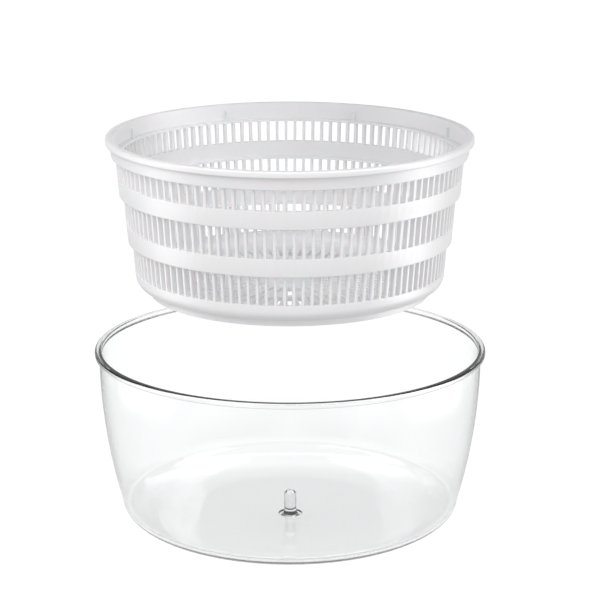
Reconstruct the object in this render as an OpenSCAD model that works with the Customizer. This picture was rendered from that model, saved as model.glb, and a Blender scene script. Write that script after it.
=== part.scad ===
// Salad spinner: a clear bowl, a slotted basket and a crank lid with a planetary drive.
// Units are millimetres, +Z is up, and the origin is the centre of the bowl's foot.
// The lid is off and the basket is held above the bowl, which is how the pieces stand here.
// basket_lift and lid_lift carry both back down to the closed, working position.

/* [Bowl] */
// Diameter over the rim bead
bowl_rim_d = 260; // [254:1:270]
// Height from the foot to the rim
bowl_h = 121; // [117:0.5:123]
// Thickness of the wall
bowl_wall = 2.5; // [2:0.1:3]
// How far the rim bead stands out from the wall
bowl_bead = 3.4; // [2.5:0.1:4.5]
// Height of the rim bead
bowl_bead_h = 3.6; // [3:0.1:5]
// How far the wall draws in from the bead to the corner
bowl_taper = 13.9; // [8:0.5:16]
// Height of the rounded corner
bowl_corner_h = 19; // [14:1:26]
// Diameter of the flat foot
bowl_foot_d = 151; // [120:1:170]
// Thickness of the floor
bowl_floor = 3; // [2.5:0.1:4]
// Height of the pivot that the basket turns on, above the floor
pivot_h = 17; // [16.5:0.5:18]
// Diameter of the pivot
pivot_d = 8; // [6:0.5:9]

/* [Basket] */
// Diameter over the lip
basket_rim_d = 240; // [236:1:240]
// Height of the rolled lip
lip_h = 4.4; // [3:0.2:6]
// How far the lip stands out from the collar
lip_out = 3.1; // [2:0.1:4]
// Height of the plain collar under the lip
collar_h = 8.1; // [8:0.1:9]
// Thickness of the collar and of the base corner
basket_wall = 2.2; // [1.8:0.1:2.6]
// Step inwards under the collar and under each band
band_step = 2.8; // [2:0.1:3.2]
// Draft of the outside, as radius over height
draft = 0.08; // [0.04:0.01:0.1]
// Height of each of the two plain bands
band_h = 11.8; // [9:0.2:13]
// Height of the top row of slots
slot_top_h = 13.8; // [11:0.2:15]
// Height of the middle row of slots
slot_mid_h = 19.4; // [18:0.2:22]
// Height of the bottom row of slots
slot_low_h = 19.2; // [18:0.2:22]
// Height of the plain wall below the slots
base_band_h = 15.5; // [14:0.5:17]
// Number of upright ribs in each row
rib_count = 112; // [90:2:120]
// Width of a rib
rib_w = 1.8; // [1.4:0.1:2.2]
// Depth of a rib, from outside to inside
rib_depth = 3.4; // [3:0.1:4]
// Diameter of the foot ring
foot_d = 185; // [176:1:188]
// Height of the foot ring
foot_h = 4.5; // [3.5:0.5:5.5]
// Thickness of the slotted base
base_t = 2.6; // [2:0.1:3]
// Diameter of the hub round the bearing
hub_d = 26; // [24:1:30]

/* [Pivot bearing] */
// Diameter of the journal that the basket turns on
journal_d = 18; // [16:0.5:19]
// Height of the journal above the bearing's flange
journal_h = 12; // [11:0.5:13]
// Thickness of the bearing's flange
bearing_flange_t = 1.6; // [1.2:0.1:2]
// Diameter of the bearing's flange
bearing_flange_d = 25; // [22:0.5:28]

/* [Lid] */
// Thickness of the lid's shell
lid_wall = 2.5; // [2:0.1:3]
// Height of the flat top above the bowl's rim
lid_top_h = 21; // [20.6:0.2:24]
// Diameter of the flat top
plateau_d = 134; // [132:1:140]
// Thickness of the silicone seal
seal_t = 1.6; // [1.2:0.1:2]
// Width of the silicone seal
seal_w = 4.6; // [3.5:0.1:5]
// Thickness of the plate that closes the gear box
gear_plate_t = 2.5; // [2:0.1:3]
// Circle of the four screws that hold the plate
screw_circle_d = 118; // [116:0.5:120]
// Diameter of the screw threads
screw_d = 3; // [2.5:0.1:3.5]

/* [Gears] */
// Tooth size, the pitch diameter over the number of teeth
gear_module = 2; // [1.9:0.05:2]
// Teeth on the sun gear, and on each planet gear
sun_teeth = 15; // [13:2:15]
// Width of the teeth
gear_w = 8; // [6:0.5:8]
// Play between two meshed teeth, along the pitch circle
backlash = 0.3; // [0.2:0.05:0.4]
// Diameter of the planet pins
planet_pin_d = 5; // [4:0.5:6]
// Diameter of the shaft below the sun gear
sun_shaft_d = 12; // [10:0.5:13]
// Diameter of the ring gear's hub
ring_hub_d = 16; // [14:0.5:17]

/* [Drive disc] */
// Thickness of the disc
disc_t = 2.5; // [2:0.1:2.8]
// Number of drive lugs inside the basket's collar
lug_count = 8; // [4:1:12]
// Width of a drive lug
lug_w = 3; // [2:0.5:5]
// How far a lug stands in from the collar
lug_in = 1.6; // [1:0.1:2]
// Depth of the disc's skirt below the basket's lip
skirt_depth = 9.2; // [7:0.2:9.4]
// Number of stiffening ribs under the disc
disc_ribs = 12; // [6:1:18]

/* [Crank] */
// Distance from the lid's centre to the knob's axis
crank_r = 52; // [44:1:58]
// Thickness of the arm
arm_t = 9; // [8.5:0.5:11]
// Diameter of the arm round the ring gear's stub
arm_hub_d = 38; // [32:1:42]
// Diameter of the arm round the knob pin
arm_end_d = 24; // [20:1:28]
// Largest diameter of the knob
knob_d = 30; // [26:1:34]
// Height of the knob
knob_h = 34; // [28:1:40]
// Diameter of the knob's pin
knob_pin_d = 6; // [5:0.5:7]

/* [Brake] */
// Distance from the lid's centre to the brake button
brake_r = 92; // [90:1:96]
// Diameter of the button's cap
brake_cap_d = 22; // [18:1:24]
// Diameter of the button's stem
brake_stem_d = 12; // [10:0.5:12.5]
// How far the button travels
brake_travel = 3.8; // [3:0.1:3.8]
// Thickness of the brake pad
brake_pad_t = 1.8; // [1.4:0.1:2.2]

/* [Standing] */
// Height of the raised basket's foot above the bowl's rim
basket_rise = 39; // [20:1:80]
// Height of the raised lid above its place on the basket
lid_rise = 123; // [60:1:200]

/* [Hidden] */

$fn = 96;
eps = 0.01;

// Clearances
run_gap = 0.08;      // radius of a shaft's bore over the shaft
slide_gap = 0.1;     // radius of a plunger's bore over the plunger
seat_gap = 0.2;      // between two pieces that rest on each other
turn_gap = 0.6;      // between a turning piece and a fixed one
screw_play = 0.4;    // diameter of a screw's free hole over its thread

// Bowl
bowl_wall_r = bowl_rim_d / 2 - bowl_bead;
bowl_mouth_r = bowl_wall_r - bowl_wall;
bowl_corner_r = bowl_wall_r - bowl_taper;
bowl_foot_r = bowl_foot_d / 2;
wall_steps = 10;
corner_steps = 9;

// Heights up the basket, from its foot
z_slot_low = base_band_h;
z_band_low = z_slot_low + slot_low_h;
z_slot_mid = z_band_low + band_h;
z_band_top = z_slot_mid + slot_mid_h;
z_slot_top = z_band_top + band_h;
z_collar = z_slot_top + slot_top_h;
z_lip = z_collar + collar_h;
basket_h = z_lip + lip_h;

// Radii of the basket's outside, from the lip down
collar_top_r = basket_rim_d / 2 - lip_out;
collar_low_r = collar_top_r - draft * collar_h;
tier_top_r = collar_low_r - band_step;
tier_mid_r = tier_top_r - draft * (z_collar - z_band_top) - band_step;
tier_low_r = tier_mid_r - draft * (z_band_top - z_band_low) - band_step;
base_corner_h = base_band_h - 3.5;
base_wall_r = tier_low_r - draft * (z_band_low - base_corner_h);
foot_r = foot_d / 2;
foot_ledge = 1;
foot_ring_w = 4.5;
ledge_h = 1.5;       // how far each inside ledge stands above the step outside it
slot_reach_in = 6;   // how far the slots' cutter goes past the inside of the wall
slot_reach_out = 8;  // how far it goes past the outside
collar_in_r = collar_top_r - basket_wall;
base_z = foot_h - 1.5;
base_top_z = base_z + base_t;
base_slot_w = 2.6;
base_slot_rows = 3;
base_web = 4;        // plain ring between two rows of base slots
base_slots_from = hub_d / 2 + 6;
base_slots_to = foot_r - foot_ring_w - 1.5;
base_slot_l = (base_slots_to - base_slots_from + base_web) / base_slot_rows - base_web;

// Pivot bearing, in the basket's frame
bearing_z = base_z - seat_gap - bearing_flange_t;
journal_z = bearing_z + bearing_flange_t;
journal_top = journal_z + journal_h;
socket_top = journal_top - 5;
screw_end = journal_top - 4;
hub_ceiling = journal_top + seat_gap;
hub_top = hub_ceiling + 2;
washer_t = 0.8;

// Where the basket and the lid stand
basket_seat_z = bowl_floor + pivot_h - socket_top + seat_gap;
basket_z = bowl_h + basket_rise;
lid_on_basket = bowl_h - basket_seat_z;
lid_z = basket_z + lid_on_basket + lid_rise;
basket_top_u = basket_seat_z + basket_h - bowl_h;

// Lid, in its own frame, where zero is the bowl's rim
lid_r = bowl_rim_d / 2 + 3;
lid_skirt_w = 1.8;
lid_skirt_low = -2.5;
spigot_r = bowl_mouth_r - 0.9;
spigot_w = 2;
spigot_low = -5;
seal_in_r = bowl_wall_r - 2;
seal_top = seat_gap + seal_t;
flange_low = seal_top - 0.8;
flange_h = seal_top + lid_wall;
plateau_r = plateau_d / 2;
dome_r = bowl_wall_r - 6;
dome_steps = 24;
screw_circle_r = screw_circle_d / 2;
boss_r = screw_d / 2 + 2.4;
screw_head_h = 1.6;
screw_angles = [45, 135, 225, 315];
plate_screw_grip = 7;    // length of a screw in its boss
disc_screw_l = 10;
crank_screw_l = 8;

// Gears, in the lid's frame
ring_teeth = 3 * sun_teeth;
pressure = 20;
sun_pitch_r = gear_module * sun_teeth / 2;
ring_pitch_r = gear_module * ring_teeth / 2;
planet_orbit = 2 * sun_pitch_r;
addendum = gear_module;
dedendum = 1.25 * gear_module;
flank_steps = 4;
ring_tip_r = sqrt(pow(ring_pitch_r * cos(pressure), 2) + pow(planet_orbit * sin(pressure), 2)) + 0.15;
ring_root_r = ring_pitch_r + dedendum;
ring_out_r = ring_root_r + 3;
gear_plate_top = 5;
gear_plate_low = gear_plate_top - gear_plate_t;
gear_plate_r = screw_circle_r + boss_r + 2;
gear_low = gear_plate_top + 1;
gear_top = gear_low + gear_w;
web_low = gear_top + 0.8;
web_t = 2.4;
web_top = web_low + web_t;
planet_pin_r = planet_pin_d / 2;
sun_shaft_r = sun_shaft_d / 2;
sun_spigot_r = 3;
ring_hub_r = ring_hub_d / 2;

// Drive disc
disc_low = basket_top_u + turn_gap;
disc_top = disc_low + disc_t;
disc_r = basket_rim_d / 2 - 1;
disc_skirt_r = collar_in_r - draft * (basket_h - z_collar) - 0.3;
disc_skirt_w = 2.2;
disc_skirt_low = basket_top_u - skirt_depth;
disc_hub_r = sun_shaft_r + 5;
shaft_side = 7;      // side of the square end of the sun gear's shaft
shaft_end_h = 4.2;   // height of that square end, in the socket of the disc's hub
hub_floor = 1.8;     // what the hub leaves under the socket
shaft_low = disc_top - shaft_end_h;
disc_hub_low = shaft_low - hub_floor;
disc_rib_w = 1.6;
disc_rib_h = 4;

// Crank
arm_low = lid_top_h + washer_t + 2 * seat_gap;
arm_top = arm_low + arm_t;
arm_hub_r = arm_hub_d / 2;
arm_end_r = arm_end_d / 2;
arm_shell = 2.2;
stub_side = 10;      // side of the square stub on the ring gear's hub
stub_top = arm_low + 4.3;
arm_floor = stub_top + seat_gap + 1.4;
crank_cap_r = 9;
crank_cap_low = arm_top - 0.8;
knob_pin_r = knob_pin_d / 2;
knob_low = arm_top + turn_gap;
knob_top = knob_low + knob_h;
pin_top = knob_top - 4;
pin_head_r = knob_pin_r + 2;
pin_head_h = 1.6;
knob_cap_r = pin_head_r + 0.6;
knob_cap_t = 1.6;

// Brake
brake_angle = 270;   // the button is at the front of the lid
brake_stem_r = brake_stem_d / 2;
brake_pad_low = disc_top + brake_travel + 0.1;
brake_pad_r = brake_stem_r + 1.5;
brake_stem_low = brake_pad_low + brake_pad_t;
brake_stud_r = 2;
brake_stud_h = 4;
guide_low = brake_stem_low + 0.3;
guide_top = 16;
guide_r = brake_stem_r + 3.4;
spring_wire = 0.9;
spring_turns = 4;
spring_r = brake_stem_r + 1.1;
spring_low = guide_top - 1.6;
spring_top = guide_top + brake_travel + 4.2;
brake_cap_r = brake_cap_d / 2;
brake_cap_top = spring_top + 2;
brake_cap_low = guide_top + brake_travel + 0.2;
well_r = brake_cap_r + 0.3;
well_wall = 2.2;
well_low = 9;
well_floor = 13.4;
well_top = brake_cap_low + 2.5;

// ---- Shared shapes ----

// A ring between two radii, from one height to another
module ring(r_out, r_in, low, high) {
    translate([0, 0, low])
        difference() {
            cylinder(r = r_out, h = high - low);
            translate([0, 0, -1])
                cylinder(r = r_in, h = high - low + 2);
        }
}

// A wheel of slots that run outwards from a disc: used to cut a row of openings in a round wall
module slot_wheel(count, slot_w, hollow_r, reach_r) {
    half = asin(slot_w / 2 / hollow_r);
    polygon([
        for (i = [0 : count - 1], side = [-1, 1], far = side < 0 ? [0, 1] : [1, 0])
            let (a = 360 * i / count + side * half)
            far == 0
                ? hollow_r * [cos(a), sin(a)]
                : hollow_r * [cos(a), sin(a)] + (reach_r - hollow_r)
                    * [cos(360 * i / count), sin(360 * i / count)]
    ]);
}

// A ring of separate radial slots
module slot_ring(count, slot_w, from_r, to_r) {
    for (i = [0 : count - 1])
        rotate(360 * i / count)
            translate([from_r, -slot_w / 2])
                square([to_r - from_r, slot_w]);
}

// Angle between the pitch point and the point of an involute at a radius, in degrees
function involute(base_r, r) =
    let (a = acos(min(1, base_r / r)))
    tan(a) * 180 / PI - a;

// Half the angle that a tooth, or a gap where play is negative, takes at a radius
function tooth_half(teeth, pitch_r, r, play) =
    90 / teeth - play * 90 / (PI * pitch_r)
    + involute(pitch_r * cos(pressure), pitch_r)
    - involute(pitch_r * cos(pressure), max(r, pitch_r * cos(pressure)));

// Outline with involute flanks between a root and a tip radius
module toothed(teeth, pitch_r, root_r, tip_r, play) {
    flank = [for (k = [0 : flank_steps]) root_r + (tip_r - root_r) * k / flank_steps];
    polygon([
        for (i = [0 : teeth - 1], side = [-1, 1], k = [0 : flank_steps])
            let (
                r = flank[side < 0 ? k : flank_steps - k],
                a = 360 * i / teeth + side * tooth_half(teeth, pitch_r, r, play)
            )
            r * [cos(a), sin(a)]
    ]);
}

// A screw that points down from its head, whose underside is at zero
module screw(length, head_r) {
    recess_w = 0.9;
    recess_l = 3.2;
    recess_deep = 0.9;
    translate([0, 0, -length])
        cylinder(d = screw_d, h = length + eps);
    difference() {
        cylinder(r1 = head_r, r2 = head_r - 0.6, h = screw_head_h);
        for (a = [0, 90])
            rotate(a)
                translate([-recess_l / 2, -recess_w / 2, screw_head_h - recess_deep])
                    cube([recess_l, recess_w, recess_deep + 1]);
    }
}

// Places a piece in the basket's frame, or in the lid's
module on_basket() {
    translate([0, 0, basket_z]) children();
}

module on_lid() {
    translate([0, 0, lid_z]) children();
}

// ---- Bowl ----

function bowl_outer() = [
    for (i = [0 : corner_steps])
        let (a = 90 * i / corner_steps)
        [bowl_foot_r + (bowl_corner_r - bowl_foot_r) * sin(a), bowl_corner_h * (1 - cos(a))],
    for (i = [1 : wall_steps])
        let (t = 1 - i / wall_steps)
        [bowl_wall_r - bowl_taper * t * t,
         bowl_corner_h + (bowl_h - bowl_bead_h - bowl_corner_h) * (1 - t)]
];

function bowl_inner() = [
    for (i = [0 : wall_steps])
        let (t = i / wall_steps)
        [bowl_mouth_r - bowl_taper * t * t, bowl_h - 1 - (bowl_h - 1 - bowl_corner_h) * t],
    for (i = [1 : corner_steps])
        let (a = 90 * (1 - i / corner_steps))
        [bowl_foot_r + (bowl_corner_r - bowl_wall - bowl_foot_r) * sin(a),
         bowl_floor + (bowl_corner_h - bowl_floor) * (1 - cos(a))]
];

module bowl() {
    bead_r = bowl_rim_d / 2;
    color([0.93, 0.95, 0.96, 0.35])
        rotate_extrude()
            polygon(concat(
                [[0, 0]],
                bowl_outer(),
                [
                    [bead_r - 0.9, bowl_h - bowl_bead_h],
                    [bead_r, bowl_h - bowl_bead_h + 1],
                    [bead_r, bowl_h - 1.2],
                    [bead_r - 1.2, bowl_h],
                    [bowl_mouth_r + 1, bowl_h]
                ],
                bowl_inner(),
                [
                    [pivot_d / 2 + 4.5, bowl_floor],
                    [pivot_d / 2 + 1, bowl_floor + 1.2],
                    [pivot_d / 2, bowl_floor + 4],
                    [pivot_d / 2, bowl_floor + pivot_h - 2],
                    [pivot_d / 2 - 2, bowl_floor + pivot_h],
                    [0, bowl_floor + pivot_h]
                ]
            ));
}

// ---- Basket ----

// Slot width that leaves a rib of rib_w between two slots at a radius
function slot_w(r) = 2 * PI * r / rib_count - rib_w;

module basket_section() {
    base_in_r = base_wall_r - basket_wall - 1;
    corner = 6;
    polygon(concat(
        [
            [screw_d / 2 + 0.5, hub_ceiling],
            [journal_d / 2 + run_gap, hub_ceiling],
            [journal_d / 2 + run_gap, base_z],
            [foot_r - foot_ring_w, base_z],
            [foot_r - foot_ring_w, 0],
            [foot_r - 0.6, 0],
            [foot_r, 0.6],
            [foot_r, foot_h]
        ],
        [
            for (i = [0 : corner])
                let (a = 90 * i / corner)
                [foot_r + foot_ledge + (base_wall_r - foot_r - foot_ledge) * sin(a),
                 foot_h + (base_corner_h - foot_h) * (1 - cos(a))]
        ],
        [
            [tier_low_r, z_band_low],
            [tier_low_r + band_step - 0.4, z_band_low],
            [tier_low_r + band_step, z_band_low + 0.4],
            [tier_mid_r, z_band_top],
            [tier_mid_r + band_step - 0.4, z_band_top],
            [tier_mid_r + band_step, z_band_top + 0.4],
            [tier_top_r, z_collar],
            [tier_top_r + band_step - 0.4, z_collar],
            [tier_top_r + band_step, z_collar + 0.4],
            [collar_top_r, z_lip],
            [collar_top_r + lip_out - 0.8, z_lip + 0.2],
            [collar_top_r + lip_out, z_lip + 1.2],
            [collar_top_r + lip_out, basket_h - 1.8],
            [collar_top_r + lip_out - 0.6, basket_h - 0.6],
            [collar_top_r + lip_out - 1.8, basket_h],
            [collar_in_r + 0.8, basket_h],
            [collar_in_r, basket_h - 0.8],
            [collar_low_r - basket_wall, z_collar + ledge_h],
            [tier_top_r - rib_depth, z_collar + ledge_h],
            [tier_mid_r + band_step - rib_depth, z_band_top + ledge_h],
            [tier_mid_r - rib_depth, z_band_top + ledge_h],
            [tier_low_r + band_step - rib_depth, z_band_low + ledge_h],
            [tier_low_r - rib_depth, z_band_low + ledge_h]
        ],
        [
            for (i = [0 : corner])
                let (a = 90 * (1 - i / corner))
                [foot_r - 3 + (base_in_r - foot_r + 3) * sin(a),
                 base_top_z + (base_corner_h + 2 - base_top_z) * (1 - cos(a))]
        ],
        [
            [hub_d / 2 + 1, base_top_z],
            [hub_d / 2, base_top_z + 1],
            [hub_d / 2, hub_top - 1],
            [hub_d / 2 - 1, hub_top],
            [screw_d / 2 + 0.5, hub_top]
        ]
    ));
}

module basket_slot_row(low, high, outer_r) {
    translate([0, 0, low])
        linear_extrude(high - low)
            slot_wheel(rib_count, slot_w(outer_r),
                       outer_r - rib_depth - slot_reach_in, outer_r + slot_reach_out);
}

module base_slots() {
    translate([0, 0, base_z - 1])
        linear_extrude(base_t + 2)
            for (row = [0 : base_slot_rows - 1]) {
                from_r = base_slots_from + row * (base_slot_l + base_web);
                slot_ring(24 * (row + 1), base_slot_w, from_r, from_r + base_slot_l);
            }
}

module drive_lugs() {
    lug_low = z_collar + ledge_h - eps;
    lug_high = z_lip;
    for (i = [0 : lug_count - 1])
        rotate(360 * (i + 0.5) / lug_count)
            translate([collar_low_r - basket_wall - lug_in, -lug_w / 2, lug_low])
                cube([lug_in + 1, lug_w, lug_high - lug_low]);
}

module basket() {
    color("white")
        on_basket() {
            difference() {
                rotate_extrude() basket_section();
                basket_slot_row(z_slot_low, z_band_low, tier_low_r);
                basket_slot_row(z_slot_mid, z_band_top, tier_mid_r);
                basket_slot_row(z_slot_top, z_collar, tier_top_r);
                base_slots();
            }
            drive_lugs();
        }
}

// ---- Pivot bearing: it stands on the bowl's pivot, and the basket turns on it ----

module pivot_bearing() {
    flange_r = bearing_flange_d / 2;
    color("gainsboro")
        on_basket()
            rotate_extrude()
                polygon([
                    [0, socket_top],
                    [pivot_d / 2 + run_gap, socket_top],
                    [pivot_d / 2 + run_gap, bearing_z],
                    [flange_r - 0.4, bearing_z],
                    [flange_r, bearing_z + 0.4],
                    [flange_r, journal_z],
                    [journal_d / 2, journal_z],
                    [journal_d / 2, journal_top],
                    [screw_d / 2, journal_top],
                    [screw_d / 2, screw_end],
                    [0, screw_end]
                ]);
}

module bearing_washer() {
    color("silver")
        on_basket()
            ring(5, screw_d / 2 + 0.15, hub_top + seat_gap, hub_top + seat_gap + washer_t);
}

module bearing_screw() {
    head_z = hub_top + seat_gap + washer_t;
    color("silver")
        on_basket()
            translate([0, 0, head_z])
                screw(head_z - screw_end, 3);
}

// ---- Lid ----

// Height of the dome's outside at a radius
function dome_h(r) =
    flange_h + (lid_top_h - flange_h) * cos(90 * (r - plateau_r) / (dome_r - plateau_r));

module lid_section() {
    edge = 2;
    hub_boss_r = ring_hub_r + 4;
    dome = [for (i = [0 : dome_steps]) plateau_r + (dome_r - plateau_r) * i / dome_steps];
    polygon(concat(
        [[ring_hub_r + run_gap, lid_top_h]],
        [for (r = dome) [r, dome_h(r)]],
        [
            [lid_r - edge, flange_h],
            [lid_r - 0.6, flange_h - 0.6],
            [lid_r, flange_h - edge],
            [lid_r, lid_skirt_low],
            [lid_r - lid_skirt_w, lid_skirt_low],
            [lid_r - lid_skirt_w, flange_low],
            [seal_in_r + seal_w, flange_low],
            [seal_in_r + seal_w, seal_top],
            [seal_in_r, seal_top],
            [seal_in_r, flange_low],
            [spigot_r, flange_low],
            [spigot_r, spigot_low],
            [spigot_r - spigot_w, spigot_low],
            [spigot_r - spigot_w, flange_h - lid_wall]
        ],
        [
            for (i = [0 : dome_steps])
                let (r = dome[dome_steps - i])
                [r, dome_h(r) - lid_wall]
        ],
        [
            [hub_boss_r, lid_top_h - lid_wall],
            [hub_boss_r, web_top + 0.3],
            [ring_hub_r + run_gap, web_top + 0.3]
        ]
    ));
}

module on_brake() {
    rotate(brake_angle)
        translate([brake_r, 0, 0])
            children();
}

module gear_plate_bosses() {
    for (a = screw_angles)
        rotate(a)
            translate([screw_circle_r, 0, gear_plate_top])
                difference() {
                    cylinder(r = boss_r, h = lid_top_h - lid_wall - gear_plate_top + eps);
                    translate([0, 0, -1])
                        cylinder(d = screw_d, h = plate_screw_grip + 2);
                }
}

module brake_guide() {
    stem_bore = brake_stem_r + slide_gap;
    ring(well_r + well_wall, well_r, well_low, well_top);
    difference() {
        union() {
            ring(well_r + eps, stem_bore, well_floor, guide_top);
            ring(guide_r, stem_bore, guide_low, guide_top);
        }
        ring(spring_r + spring_wire, stem_bore - 1, spring_low, guide_top + 1);
    }
}

module lid_shell() {
    color("white")
        on_lid() {
            difference() {
                rotate_extrude() lid_section();
                on_brake()
                    translate([0, 0, well_low - 8])
                        cylinder(r = well_r + 1, h = lid_top_h);
            }
            gear_plate_bosses();
            on_brake() brake_guide();
        }
}

module lid_seal() {
    color("lightgray")
        on_lid()
            ring(seal_in_r + seal_w, seal_in_r, seat_gap, seal_top);
}

// ---- Gear box ----

module gear_plate() {
    bore_r = sun_shaft_r + run_gap;
    color("white")
        on_lid()
            difference() {
                union() {
                    translate([0, 0, gear_plate_low])
                        cylinder(r = gear_plate_r, h = gear_plate_t);
                    translate([0, 0, gear_plate_low])
                        cylinder(r = sun_shaft_r + 3.5, h = gear_low - 0.3 - gear_plate_low);
                }
                translate([0, 0, gear_plate_low - 1])
                    cylinder(r = bore_r, h = gear_low);
                for (i = [0 : 2])
                    rotate(120 * i)
                        translate([planet_orbit, 0, gear_plate_low - 1])
                            cylinder(r = planet_pin_r, h = gear_plate_t + 2);
                for (a = screw_angles)
                    rotate(a)
                        translate([screw_circle_r, 0, gear_plate_low - 1])
                            cylinder(d = screw_d + screw_play, h = gear_plate_t + 2);
            }
}

module gear_plate_screws() {
    color("silver")
        on_lid()
            for (a = screw_angles)
                rotate(a)
                    translate([screw_circle_r, 0, gear_plate_low])
                        rotate([180, 0, 0])
                            screw(gear_plate_t + plate_screw_grip, 3);
}

module planet_pins() {
    color("silver")
        on_lid()
            for (i = [0 : 2])
                rotate(120 * i)
                    translate([planet_orbit, 0, gear_plate_low]) {
                        cylinder(r = planet_pin_r, h = gear_top - 0.6 - gear_plate_low);
                        translate([0, 0, gear_top - 0.6 - gear_plate_low])
                            cylinder(r1 = planet_pin_r, r2 = planet_pin_r - 0.5, h = 0.5);
                    }
}

module planet_gear(index) {
    color("whitesmoke")
        on_lid()
            rotate(120 * index)
                translate([planet_orbit, 0, 0])
                    rotate(-120 * index)
                        difference() {
                            union() {
                                translate([0, 0, gear_low])
                                    linear_extrude(gear_w)
                                        small_gear_outline();
                                translate([0, 0, gear_plate_top + seat_gap])
                                    cylinder(r = planet_pin_r + 2.5, h = 1);
                            }
                            translate([0, 0, gear_plate_top])
                                cylinder(r = planet_pin_r + run_gap, h = gear_w + 2);
                        }
}

// The sun gear and the planet gears are the same size
module small_gear_outline() {
    toothed(sun_teeth, sun_pitch_r, sun_pitch_r - dedendum, sun_pitch_r + addendum, backlash / 2);
}

module sun_gear() {
    color("whitesmoke")
        on_lid()
            difference() {
                union() {
                    translate([0, 0, gear_low])
                        linear_extrude(gear_w)
                            small_gear_outline();
                    translate([0, 0, gear_top - eps])
                        cylinder(r = sun_spigot_r, h = web_top - gear_top - 0.4);
                    translate([0, 0, disc_top])
                        cylinder(r = sun_shaft_r, h = gear_low - disc_top + eps);
                    translate([-shaft_side / 2, -shaft_side / 2, shaft_low])
                        cube([shaft_side, shaft_side, shaft_end_h + eps]);
                }
                translate([0, 0, shaft_low - 1])
                    cylinder(d = screw_d, h = disc_screw_l + 1);
            }
}

module ring_gear() {
    color("whitesmoke")
        on_lid()
            difference() {
                union() {
                    translate([0, 0, gear_low])
                        cylinder(r = ring_out_r, h = web_top - gear_low);
                    translate([0, 0, web_top - eps])
                        cylinder(r = ring_hub_r, h = arm_low - seat_gap - web_top);
                    translate([-stub_side / 2, -stub_side / 2, arm_low - seat_gap - 2 * eps])
                        cube([stub_side, stub_side, stub_top - arm_low + seat_gap]);
                }
                translate([0, 0, gear_low - 1])
                    linear_extrude(web_low - gear_low + 1)
                        toothed(ring_teeth, ring_pitch_r, ring_tip_r, ring_root_r, -backlash / 2);
                translate([0, 0, web_low - 1])
                    cylinder(r = sun_spigot_r + run_gap, h = web_t + 0.8);
                translate([0, 0, stub_top - crank_screw_l])
                    cylinder(d = screw_d, h = crank_screw_l + 2);
            }
}

// ---- Drive disc: it turns the basket by the lugs inside the basket's collar ----

// The skirt, with a notch for each lug
module disc_skirt() {
    notch_w = lug_w + 1.2;
    difference() {
        ring(disc_skirt_r, disc_skirt_r - disc_skirt_w, disc_skirt_low, disc_low + eps);
        for (i = [0 : lug_count - 1])
            rotate(360 * (i + 0.5) / lug_count)
                translate([disc_skirt_r - 4, -notch_w / 2, disc_skirt_low - 1])
                    cube([8, notch_w, disc_low - disc_skirt_low + 2]);
    }
}

module drive_disc() {
    color("white")
        on_lid() {
            disc_skirt();
            difference() {
                union() {
                    translate([0, 0, disc_low])
                        cylinder(r = disc_r, h = disc_t);
                    translate([0, 0, disc_hub_low])
                        cylinder(r = disc_hub_r, h = disc_top - disc_hub_low);
                    for (i = [0 : disc_ribs - 1])
                        rotate(360 * i / disc_ribs)
                            translate([disc_hub_r - 1, -disc_rib_w / 2, disc_low - disc_rib_h])
                                cube([disc_skirt_r - disc_hub_r - 0.5, disc_rib_w, disc_rib_h + 1]);
                }
                translate([-shaft_side / 2, -shaft_side / 2, shaft_low])
                    cube([shaft_side, shaft_side, shaft_end_h + 1]);
                translate([0, 0, disc_hub_low - 1])
                    cylinder(d = screw_d + screw_play, h = hub_floor + 2);
            }
        }
}

module drive_disc_screw() {
    color("silver")
        on_lid()
            translate([0, 0, disc_hub_low])
                rotate([180, 0, 0])
                    screw(disc_screw_l, 3.4);
}

// ---- Crank ----

// Outline of the arm, drawn in by an inset
module arm_outline(inset) {
    hub_r = arm_hub_r - inset;
    end_r = arm_end_r - inset;
    tangent = acos((hub_r - end_r) / crank_r);
    circle(r = hub_r);
    translate([crank_r, 0])
        circle(r = end_r);
    polygon([
        hub_r * [cos(tangent), sin(tangent)],
        [crank_r + end_r * cos(tangent), end_r * sin(tangent)],
        [crank_r + end_r * cos(tangent), -end_r * sin(tangent)],
        hub_r * [cos(tangent), -sin(tangent)]
    ]);
}

module crank_arm() {
    socket = stub_side + 0.1;
    color("white")
        on_lid()
            difference() {
                union() {
                    difference() {
                        translate([0, 0, arm_low])
                            linear_extrude(arm_t)
                                arm_outline(0);
                        translate([0, 0, arm_low - 1])
                            linear_extrude(arm_t + 1 - arm_shell)
                                arm_outline(arm_shell);
                    }
                    translate([0, 0, arm_low])
                        cylinder(r = crank_cap_r + 2.5, h = arm_t);
                    translate([crank_r, 0, arm_low])
                        cylinder(r = knob_pin_r + 2.5, h = arm_t);
                }
                translate([-socket / 2, -socket / 2, arm_low - 1])
                    cube([socket, socket, stub_top + seat_gap - arm_low + 1]);
                translate([0, 0, arm_low])
                    cylinder(d = screw_d + screw_play, h = arm_t);
                translate([0, 0, arm_floor])
                    cylinder(r = crank_cap_r, h = arm_t);
                translate([crank_r, 0, arm_low - 1])
                    cylinder(r = knob_pin_r, h = arm_t + 2);
            }
}

module thrust_washer() {
    color("gainsboro")
        on_lid()
            ring(ring_hub_r + 6, ring_hub_r + 0.1, lid_top_h + seat_gap, lid_top_h + seat_gap + washer_t);
}

module crank_screw() {
    color("silver")
        on_lid()
            translate([0, 0, arm_floor])
                screw(crank_screw_l, 3.4);
}

module crank_cap() {
    color("silver")
        on_lid()
            translate([0, 0, crank_cap_low]) {
                cylinder(r = crank_cap_r, h = arm_top - crank_cap_low);
                translate([0, 0, arm_top - crank_cap_low - eps])
                    cylinder(r1 = crank_cap_r, r2 = crank_cap_r - 1.2, h = 0.8);
            }
}

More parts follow.
